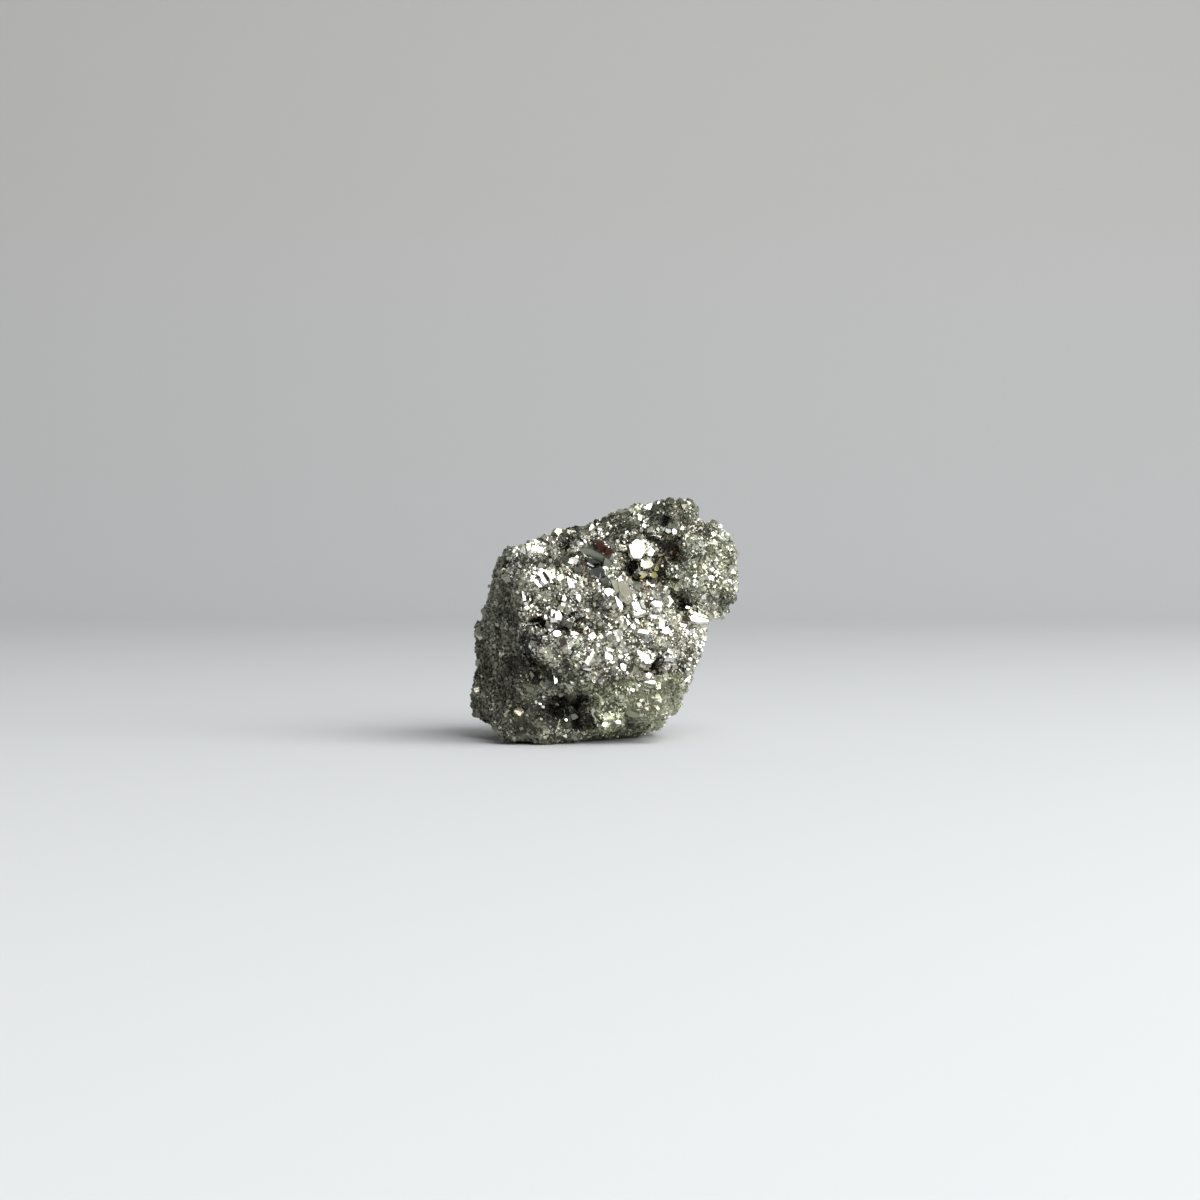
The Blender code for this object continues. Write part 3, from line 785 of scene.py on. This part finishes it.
# the larger facets, each by its finish and the corners of its outline as they are seen
outlinedFacets = {
    "caveWhite": ("white", [(629, 545), (637, 543), (645, 544), (646, 549), (641, 558), (634, 558),
                            (631, 553)]),
    "caveWhiteRight": ("white", [(648, 550), (651, 547), (654.5, 551), (652, 556), (648, 555)]),
    "caveWhiteBelow": ("white", [(641, 562), (644, 561), (651, 562), (651, 566), (646, 568), (641, 566)]),
    "aboveCave": ("slate", [(628, 541), (632, 536), (637, 537), (639, 542), (633, 544)]),
    "caveGold": ("gold", [(654, 567), (658, 565), (660.5, 568), (657.5, 571), (654.5, 570.5)]),
    "caveGoldBelow": ("dimGold", [(650.5, 571), (656, 572), (658, 576), (654, 579), (650, 576)]),
    "caveGoldLeft": ("dimGold", [(639.5, 578), (642, 575), (647, 573), (647.5, 575), (643, 578.5)]),
    "leftTall": ("white", [(540, 567), (544, 569), (547.5, 574), (548, 582), (545.5, 584), (541.5, 580),
                           (540, 574)]),
    "leftTallRight": ("white", [(550.5, 575), (553, 573), (555.5, 576), (556.5, 581), (554, 583),
                                (550.5, 582.5)]),
    "leftLow": ("white", [(533, 580), (537, 575), (541, 577), (545, 583), (543, 586.5), (539, 587)]),
    "slateUpper": ("slatePale", [(579, 549), (585, 548), (593, 550), (598, 555), (594, 561), (585, 558)]),
    "slateMiddle": ("slate", [(593, 550), (601, 554), (608, 559), (605, 565), (598, 564), (592, 558)]),
    "slateFar": ("slatePale", [(605, 557.5), (609, 560), (613, 564.5), (610, 567.5), (603, 566)]),
    "slateUnder": ("slateDark", [(586, 559), (593, 561), (603, 565.5), (600, 569), (592, 568)]),
    "slateLow": ("slateDark", [(592.5, 569), (599, 567), (604, 571), (604.5, 576), (600, 579), (594, 575)]),
    "slateEnd": ("slate", [(600, 579), (606, 577), (609, 582), (604, 585)]),
    "rustLeft": ("rust", [(595.5, 542.5), (602.5, 543.5), (606, 548), (609, 553), (603, 552.5),
                          (599, 550.5)]),
    "rustRight": ("rust", [(606, 548), (610, 549.5), (615, 554), (614, 559), (610, 557.5), (605, 553)]),
    "beigeSlab": ("beige", [(618, 582), (626, 584), (632, 591), (633, 599), (629, 605), (625, 603),
                            (620, 596)]),
    "beigeSide": ("greenPale", [(610, 579), (617, 581), (622, 590), (620, 598), (615, 591)]),
    "centreFlash": ("white", [(615, 596), (619, 597), (623, 606), (622, 610), (618, 606)]),
    "leftFleck": ("white", [(567.5, 576), (573, 582), (575, 586), (570, 588), (568, 583)]),
    "middleFleck": ("white", [(576, 593), (579, 592), (581, 598), (579.5, 602), (576.5, 598)]),
    "rightFleck": ("white", [(605, 589), (610, 588), (611.5, 593), (608, 596.5), (605.5, 593)]),
    "edgeStrip": ("white", [(522, 591), (525, 592), (526.5, 600), (523.5, 600.5)]),
    "gashFlash": ("white", [(559, 610), (562, 616), (560.5, 620), (555.5, 619), (556, 612.5)]),
    "gashGrey": ("pale", [(550.5, 617.5), (557.5, 619), (557, 622), (550.5, 622.5)]),
    "cornerWhite": ("white", [(690, 617), (696, 613), (703, 613), (707, 616.5), (708.5, 621.5),
                              (699, 622), (691.5, 620.5)]),
    "curvedLeft": ("white", [(637, 650), (641, 651.5), (644.5, 655), (643, 659), (638, 654)]),
    "curvedRight": ("white", [(644, 655), (650, 655), (653, 658), (651, 663), (646, 663.5), (642.5, 659)]),
    "lowCurve": ("pale", [(580, 663), (586, 666), (593, 668), (590, 671), (583, 669.5)]),
    "lip": ("paleOlive", [(623.5, 710.5), (627, 709), (637, 713), (640, 716), (635.5, 718), (628.5, 716.5)]),
    "bottomDark": ("slate", [(570, 715), (575, 713.5), (578.5, 717), (574, 720), (570, 719)]),
    "lowLeftSliver": ("white", [(553.5, 674), (556, 673), (557.5, 682), (555, 684)]),
    "edgeRightLow": ("white", [(683.5, 681), (686.5, 677), (691, 675.5), (690, 678.5), (685, 682.5)]),
    "topWhite": ("white", [(646.5, 505), (650, 503.5), (653, 506), (651.5, 511), (647.5, 509)]),
    "shelfWhite": ("white", [(672.5, 528), (677, 528), (676, 534), (673, 534)]),
    "streakMiddle": ("white", [(605.5, 645.5), (612, 645), (616, 648), (613, 651.5), (607, 650)]),
    "streakLow": ("white", [(620.5, 664), (625, 662), (628, 667), (625, 671), (621.5, 669)]),
}

# the smaller ones: where each is seen, its width and height in pixels, its roll in degrees and its finish
smallFacets = [
    (675.5, 554, 4, 6, 0, "orange"),  # orange speck
    (659, 504, 5, 5, 0, "white"),  # top white right
    (644, 526, 4, 7, 0, "white"),  # below top
    (668, 531, 7, 7, 30, "pale"), (682, 528, 4, 5, 0, "white"),  # shelf pale
    (535, 549, 9, 8, 15, "white"), (541, 550, 7, 6, -20, "white"),  # top left white
    (520, 566, 5, 5, 0, "pale"), (531, 568, 6, 5, 0, "pale"),  # left up
    (526, 604, 5, 5, 10, "pale"),  # edge strip low
    (574, 561, 9, 9, 0, "pale"), (577, 557, 3, 4, 0, "white"),  # round crystal
    (591, 529, 4, 5, 30, "white"), (600, 530, 6, 4, 0, "white"),  # ridge flash
    (608, 535, 5, 6, -20, "white"),  # ridge flash far
    (578, 570, 9, 7, 0, "slateSoft"),  # slate below
    (635, 607, 5, 13, 25, "white"), (643, 606, 4, 15, 30, "pale"),  # centre flash right
    (634, 597, 5, 9, 15, "white"),  # centre top
    (546, 617, 5, 5, 0, "white"), (530, 624, 8, 6, 20, "pale"),  # gash flash left
    (557, 634, 9, 8, 0, "white"), (566, 637, 5, 4, 20, "pale"),  # below gash white
    (652, 586, 6, 5, 20, "white"), (657, 604, 12, 8, 0, "white"),  # right small
    (653, 616, 8, 7, 30, "white"), (674, 593, 5, 7, 20, "white"),  # right middle left
    (680, 599, 5, 5, 0, "pale"),  # right middle edge
    (629, 617, 4, 9, 25, "white"), (637, 621, 3, 10, 30, "white"),  # streak up
    (629, 658, 4, 4, 0, "white"), (633, 627, 5, 6, 20, "white"),  # streak down
    (643, 632, 12, 7, 0, "white"), (666, 631, 9, 8, 30, "white"),  # right middle low
    (683, 625, 9, 6, 10, "white"), (688, 608, 6, 5, 0, "white"),  # corner left
    (703, 598, 7, 7, 0, "pale"), (711, 578, 7, 6, 20, "white"),  # lobe white
    (719, 587, 5, 5, 0, "white"), (713, 535, 5, 7, 20, "white"),  # lobe flash right
    (592, 654, 3, 8, -40, "white"),  # streak left
    (650, 682, 11, 6, 0, "white"), (658, 687, 6, 5, 20, "white"),  # low cluster
    (639, 685, 4, 3, 10, "white"), (645, 689, 6, 4, -10, "white"),  # low cluster left
    (666, 657, 5, 4, 10, "white"), (672, 664, 4, 4, 0, "pale"),  # beside small cave
    (540, 704, 3, 3, 0, "white"), (536, 702, 3, 5, 0, "pale"),  # foot fleck
    (543, 707, 4, 4, 20, "pale"),  # foot fleck right
    (632, 690, 5, 5, 0, "white"), (620, 700, 6, 5, 0, "pale"),  # low flash
    (690, 660, 4, 8, 10, "white"),  # edge right
    (530, 646, 3, 11, 0, "pale"),  # left vertical
    (618, 722, 6, 4, 0, "white"), (607, 726, 5, 4, 0, "pale"),  # bottom flash
    (638, 727, 4, 4, 0, "dimGold"), (566, 720, 3, 3, 0, "white"),  # bottom gold
    (584, 718, 3, 3, 0, "white"),  # bottom speck right
    (530, 690, 8, 10, 0, "paleOlive"),  # left patch
]
floorWay = Vector((0.05, -0.97, -0.25)).normalized()

# how the facets are fitted to the stone, with lengths in mm
facetFit = {
    "lean": 0.6,          # towards the viewer, of those that face with the skin
    "stray": 0.05,        # how unevenly they face
    "widen": 1.05,        # the small ones, over the size that is seen
    "forward": 0.15,
    "clearing": 0.45,     # kept free of crystals, in parts of the facet's size
    "skinBehind": 0.7,    # the outlined ones clear this share of the skin behind them
    "gap": 0.05,
    "furthest": 0.9,
    "flare": 1.15,        # of their back
    "depth": 0.5,
    "smallMargin": 0.10,  # crystals stay this part of their size away from the small ones
    "largeMargin": 0.4,   # and the large crystals this part of what they are over
    "largeEdge": 0.4,     # this size away from the outlined ones
    "behind": -0.8,
    "before": 2.5,
}


def facetWay(finish, normal):
    if facetFinish[finish]["faces"] == "window":
        return Vector(glintWay)
    if facetFinish[finish]["faces"] == "floor":
        return floorWay
    return (normal + Vector((0, -facetFit["lean"], 0))).normalized()


def unevenly(facing):
    return (facing + Vector(dice.normal(size=3) * facetFit["stray"])).normalized()


def facetTurn(facing, roll=0):
    across = (Vector((1, 0, 0)) - facing * facing.x).normalized()
    turn = Matrix((across, facing.cross(across), facing)).transposed()
    return turn @ Matrix.Rotation(math.radians(roll), 3, "Z")


def placeSmallFacets():
    rows, cleared = {"plateA": [], "plateB": [], "plateC": []}, []
    for order, (x, y, width, height, roll, finish) in enumerate(smallFacets):
        spot, normal, distance = spotOnStone((x, y))
        if spot is None:
            continue
        facing = unevenly(facetWay(finish, normal))
        size = np.array((width, height, min(width, height))) * facetFit["widen"] * pixelSize * distance
        place = np.array(spot) - np.array((0, facetFit["forward"], 0))
        look = facetFinish[finish]
        row = (place, size, np.array(facetTurn(facing, roll)), look["tint"], look["polish"])
        rows[("plateB", "plateA", "plateC")[order % 3]].append(row)
        cleared.append((place, facetFit["clearing"] * max(size[0], size[1])))
    return [(form, *[np.array(column) for column in zip(*row)]) for form, row in rows.items()], cleared


def placeOutlinedFacets():
    # each lies in a plane just clear of most of the skin behind it, so that it is seen whole
    eye = Vector(photoCamera["place"])
    flare, depth = facetFit["flare"], facetFit["depth"]
    batches, cleared = [], []
    for name, (finish, outline) in outlinedFacets.items():
        middle = tuple(np.mean(outline, axis=0))
        hits = [hit for hit in map(spotOnStone, [middle, *outline]) if hit[0] is not None]
        facing = unevenly(facetWay(finish, sum((hit[1] for hit in hits), Vector()).normalized()))
        turn = facetTurn(facing)
        skinAhead = sorted((hit[0] - hits[0][0]).dot(facing) for hit in hits)
        ahead = max(skinAhead[int(facetFit["skinBehind"] * len(skinAhead))], 0) + facetFit["gap"]
        ahead = min(ahead, facetFit["furthest"])
        level = (hits[0][0] + facing * ahead - eye).dot(facing)
        centre = eye + rayThrough(middle) * (level / rayThrough(middle).dot(facing))
        flat = []
        for corner in outline:
            ray = rayThrough(corner)
            flat.append(turn.transposed() @ (eye + ray * (level / ray.dot(facing)) - centre))
        points = [(p.x, p.y, 0) for p in flat] + [(p.x * flare, p.y * flare, -depth - ahead) for p in flat]
        forms[name] = hullForm(points)
        look = facetFinish[finish]
        batches.append((name, np.array([centre]), np.ones((1, 3)), np.array([turn]),
                        np.array([look["tint"]]), np.array([look["polish"]])))
        cleared.append((np.array(centre), np.array(turn), np.array([(p.x, p.y) for p in flat])))
    return batches, cleared


smallBatches, smallCleared = placeSmallFacets()
outlinedBatches, outlinedCleared = placeOutlinedFacets()
crystalMesh("bright_facets", smallBatches + outlinedBatches, facetPyrite)


def awayFromFacets(place, edge):
    # where a crystal with this edge leaves every facet in sight
    keep = np.ones(len(place), bool)
    for middle, reach in smallCleared:
        keep &= np.linalg.norm(place - middle, axis=1) > reach + facetFit["smallMargin"] * edge
    margin = facetFit["largeMargin"] * np.maximum(edge - facetFit["largeEdge"], 0)
    for middle, turn, outline in outlinedCleared:
        local = (place - middle) @ turn
        reach = np.interp(np.arctan2(local[:, 1], local[:, 0]), np.arctan2(outline[:, 1], outline[:, 0]),
                          np.hypot(outline[:, 0], outline[:, 1]), period=2 * math.pi)
        over = np.hypot(local[:, 0], local[:, 1]) < reach + margin
        keep &= ~(over & (local[:, 2] > facetFit["behind"]) & (local[:, 2] < facetFit["before"]))
    return keep


def patchStrength(place):
    # above 0 where the growth is paler and below 0 where it is darker
    total = np.zeros(len(place))
    across, down = seenAt(place)
    for x, y, radius, strength in patches:
        spot = spotOnStone((x, y))[0]
        if spot is None:
            continue
        elsewhere = np.abs(place[:, 1] - spot.y) > patchEdge["depth"]
        far = np.hypot(across - x, down - y) / radius + 1e3 * elsewhere
        total += strength * np.clip(patchEdge["fade"] - far, 0, 1) ** patchEdge["softness"]
    return np.clip(total, -1, 1)


habit = {
    "tries": 6,  # places drawn for each square as wide as the spacing
    "seeds": 900, "seedStray": 0.4,  # neighbours share a seed's bearing, as if grown from it
    "bearingStray": 9, "loose": 0.55,  # degrees off it, and the share that has its own
    "sizeSpread": 0.34, "sideSpread": 0.20,
    "darkShrink": 0.30,  # in the darkest patches
    "cloudSize": 2.6, "cloudShift": 3.7, "cloudShade": 0.22, "cloudGlint": 0.6,
    # the flashing crystals' tints are mixed towards a pale one: a painted highlight
    "glintStray": 11, "darkGlint": 2.4, "paintedGlintTint": (0.90, 0.90, 0.89), "paintedGlintMix": 0.4,
    # painted shade in the hollows and dark patches, and painted light in the pale ones, for the crystals' tints
    "openShade": 1.06, "hollowShade": 2.2, "shadeSpan": (0.2, 1.1),
    "paleLeast": 0.9, "paleShade": 0.50, "darkShade": 0.84, "patchSpan": (0.10, 1.7),
    "ownShade": (0.75, 1.15), "ownHue": 0.022, "tintSpan": (0.01, 0.92),
    "rustTint": (0.86, 0.60, 0.36), "rustHollow": 4, "rustDark": 0.5, "rustMost": 0.6,
    "floorGap": 0.02, "reach": 0.9,  # mm over the floor, and how far down a crystal reaches in parts of its size
}


def cloudAt(place, size, shift):
    # soft random variation between about -1 and 1
    return np.array([noise.noise(Vector(p) / size + Vector((shift, 0, 0))) for p in place]) * 1.8


seedCount = habit["seeds"]
seedPick = dice.choice(len(skin["area"]), seedCount, p=skin["area"] / skin["area"].sum())
seedPlace = skin["centre"][seedPick] + dice.normal(size=(seedCount, 3)) * habit["seedStray"]
seedTurn = randomTurns(seedCount)
seedTree = KDTree(seedCount)
for i, p in enumerate(seedPlace):
    seedTree.insert(p, i)
seedTree.balance()


def smallTurns(count, degrees):
    # rotations by a few degrees about random axes
    axis = dice.normal(size=(count, 3)) * math.radians(degrees)
    turn = np.repeat(np.eye(3)[None], count, 0)
    x, y, z = axis.T
    turn[:, 0, 1], turn[:, 0, 2], turn[:, 1, 2] = -z, y, -x
    turn[:, 1, 0], turn[:, 2, 0], turn[:, 2, 1] = z, -y, x
    q, r = np.linalg.qr(turn)
    return q * np.sign(np.einsum("nii->ni", r))[:, None, :]


def scatter(index, spacing, share):
    area = skin["area"][index]
    chosen = dice.choice(index, int(area.sum() / spacing ** 2 * habit["tries"]), p=area / area.sum())
    u, v = dice.random((2, len(chosen)))
    over = u + v > 1
    u[over], v[over] = 1 - u[over], 1 - v[over]
    a, b, c = skin["a"][chosen], skin["b"][chosen], skin["c"][chosen]
    place = a + (b - a) * u[:, None] + (c - a) * v[:, None]
    _, first = np.unique(np.floor(place / spacing).astype(int), axis=0, return_index=True)
    first = first[dice.random(len(first)) < share]
    return chosen[first], place[first]


def turnCrystals(place, patch, cloud, look):
    # most lie with their neighbours or anyhow, and some flash at the viewer
    count = len(place)
    seed = np.array([seedTree.find(p)[1] for p in place])
    turn = np.einsum("nij,njk->nik", smallTurns(count, habit["bearingStray"]), seedTurn[seed])
    loose = dice.random(count) < habit["loose"]
    turn[loose] = randomTurns(loose.sum())
    share = look["glint"] * np.clip(1 + habit["cloudGlint"] * cloud, 0, 2)
    share = share * np.clip(1 + habit["darkGlint"] * patch, 0, 1) + look["flash"] * np.maximum(patch, 0)
    glint = dice.random(count) < share
    turn[glint] = turnsFacing(np.repeat(glintWay[None, :], glint.sum(), 0), habit["glintStray"])
    return turn, glint


def tintCrystals(hollow, patch, cloud, glint, look):
    # painted shade: darker in the hollows and dark patches, and painted light in the pale ones, with a little
    # rust in the hollows and dark patches
    count = len(hollow)
    sunk = np.maximum(hollow + 0.02, 0)
    shade = np.clip(habit["openShade"] - habit["hollowShade"] * sunk, *habit["shadeSpan"])
    shade = np.maximum(shade, habit["paleLeast"] * patch)
    patchShade = np.where(patch > 0, habit["paleShade"], habit["darkShade"]) * patch
    shade *= np.clip(1 + habit["cloudShade"] * cloud + patchShade, *habit["patchSpan"])
    shade *= dice.uniform(*habit["ownShade"], size=count)
    hue = 1 + dice.normal(size=(count, 3)) * habit["ownHue"]
    tint = np.array(look["tint"])[None, :] * shade[:, None] * hue
    # painted highlight: the crystals that flash at the window get a paler, whiter tint over their real
    # reflection
    bright = habit["paintedGlintMix"] * np.array(habit["paintedGlintTint"]) * np.minimum(shade[glint], 1)[:, None]
    tint[glint] = (1 - habit["paintedGlintMix"]) * tint[glint] + bright
    tint = np.clip(tint, *habit["tintSpan"])
    rust = hollow * habit["rustHollow"] + habit["rustDark"] * np.clip(-patch - 0.2, 0, 1)
    rust = (np.clip(rust, 0, habit["rustMost"]) * (patch < 0.3) * dice.random(count))[:, None]
    return tint * (1 - rust) + tint * np.array(habit["rustTint"]) * rust


def growLayer(index, look, layer):
    chosen, place = scatter(index, layer["spacing"], layer["share"])
    count = len(place)
    patch = patchStrength(place)
    cloud = cloudAt(place, habit["cloudSize"], habit["cloudShift"])
    edge = np.clip(layer["usual"] * np.exp(dice.normal(size=count) * habit["sizeSpread"]), *layer["sizes"])
    edge *= 1 + habit["darkShrink"] * np.minimum(patch, 0)
    size = edge[:, None] * np.exp(dice.normal(size=(count, 3)) * habit["sideSpread"])
    place = place + skin["normal"][chosen] * (edge * dice.uniform(*layer["lift"], size=count))[:, None]
    turn, glint = turnCrystals(place, patch, cloud, look)
    tint = tintCrystals(skin["hollow"][chosen], patch, cloud, glint, look)
    gloss = dice.uniform(*layer["polish"], size=count)
    clear = (place[:, 2] - habit["reach"] * size.max(1) > habit["floorGap"]) & awayFromFacets(place, edge)
    crystals = {"place": place, "size": size, "turn": turn, "tint": tint, "gloss": gloss}
    return {key: column[clear] for key, column in crystals.items()}


def growZone(index, look):
    layers = [growLayer(index, look, dict(zip(layerParts, layer))) for layer in look["layers"]]
    return {key: np.concatenate([layer[key] for layer in layers]) for key in layers[0]}


def batchesOf(grown, wanted, look):
    names = list(look["forms"])
    weight = np.array(list(look["forms"].values()), float)
    kind = dice.choice(len(names), len(grown["place"]), p=weight / weight.sum())
    batches = []
    for i, name in enumerate(names):
        pick = (kind == i) & wanted
        batches.append((name, grown["place"][pick], grown["size"][pick], grown["turn"][pick],
                        grown["tint"][pick], grown["gloss"][pick]))
    return batches


masks = zoneMasks(skin)
for zone, look in growth.items():
    grown = growZone(np.flatnonzero(masks[zone]), look)
    dull = dice.random(len(grown["place"])) < look["dull"]
    crystalMesh(zone + "_crystals", batchesOf(grown, ~dull, look), brightPyrite)
    crystalMesh(zone + "_grains", batchesOf(grown, dull, look), dullPyrite)
print("crystals grown")


# the stone's own faces

gapLook = {
    # painted shade in the hollows and dark patches, and painted light in the pale ones, for the stone's own
    # faces
    "openShade": 0.95, "hollowShade": 2.5, "shadeSpan": (0.2, 1.0), "paleLeast": 0.8,
    "freshTint": 0.85, "freshPolish": 0.20,   # the large crystals' own faces, beside their zone's crystals
    "paleShade": 0.3, "darkShade": 0.95, "patchSpan": (0.08, 1.3),
    "polish": (0.34, 0.55),
    "across": (0.31, 0.77, 0.55),             # the growth lines run across this direction
}


def dressStone(node):
    fresh = skin["crystal"]
    mesh = node.data
    tint = np.empty((len(skin["area"]), 3))
    # painted shade: the stone's faces between the crystals take their zone's dark gap tint, darker still in the
    # hollows; the large crystals' own faces take their zone's tint; and all are darker in the dark patches and
    # paler in the pale ones
    for zone, mask in masks.items():
        tint[mask] = growth[zone]["gap"]
    patch = patchStrength(skin["centre"])
    sunk = np.maximum(skin["hollow"], 0)
    shade = np.clip(gapLook["openShade"] - gapLook["hollowShade"] * sunk, *gapLook["shadeSpan"])
    tint *= np.maximum(shade, gapLook["paleLeast"] * patch)[:, None]
    for zone, mask in masks.items():
        tint[mask & fresh] = np.array(growth[zone]["tint"]) * gapLook["freshTint"]
    patchShade = np.where(patch > 0, gapLook["paleShade"], gapLook["darkShade"]) * patch
    tint *= np.clip(1 + patchShade, *gapLook["patchSpan"])[:, None]
    polish = np.where(fresh, gapLook["freshPolish"], dice.uniform(*gapLook["polish"], len(tint)))
    colours = np.ones((len(mesh.loops), 4))
    gloss = np.empty(len(mesh.loops))
    where = np.zeros((len(mesh.loops), 3))
    loopOf = np.empty(len(mesh.loop_triangles) * 3, int)
    mesh.loop_triangles.foreach_get("loops", loopOf)
    colours[loopOf, :3] = np.repeat(tint, 3, axis=0)
    gloss[loopOf] = np.repeat(polish, 3)
    normal = skin["normal"]
    along = np.cross(normal, gapLook["across"])
    along /= np.maximum(np.linalg.norm(along, axis=1), 1e-9)[:, None]
    side = np.cross(normal, along)
    for k, corner in enumerate(("a", "b", "c")):
        p = skin[corner]
        where[loopOf.reshape(-1, 3)[:, k]] = np.column_stack([
            np.einsum("ij,ij->i", p, along), np.einsum("ij,ij->i", p, side), np.round(normal[:, 0] * 20)])
    writeLayer(mesh, "tint", "FLOAT_COLOR", "CORNER", "color", colours)
    writeLayer(mesh, "polish", "FLOAT", "CORNER", "value", gloss)
    writeLayer(mesh, "faceSpot", "FLOAT_VECTOR", "CORNER", "vector", where)
    for polygon in mesh.polygons:
        polygon.use_smooth = False
    node.material_slots[0].material = gapPyrite


dressStone(stone)
print("stone dressed")
